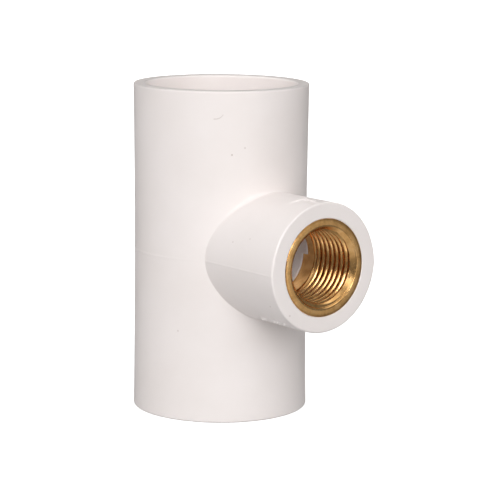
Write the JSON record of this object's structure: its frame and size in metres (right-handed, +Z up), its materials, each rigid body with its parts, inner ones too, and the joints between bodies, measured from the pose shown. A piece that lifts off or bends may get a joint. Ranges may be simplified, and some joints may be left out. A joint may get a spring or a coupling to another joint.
{
  "type": "pvc tee fitting",
  "caption": "White PVC pipe tee with two solvent sockets on a straight run and a brass threaded insert in its side branch.",
  "frame": {"origin": "where the run's axis meets the branch's axis, at mid height of the run", "axes": "+Z up along the run, +X out of the branch, +Y completes a right-handed frame"},
  "size_m": [0.0671, 0.047, 0.0878],
  "materials": {
    "pvc": "satin injection-moulded, warm white",
    "brass": "turned, uncoated"
  },
  "bodies": {
    "root": {"tee_body": "pvc", "threaded_insert": "brass"}
  },
  "joints": []
}
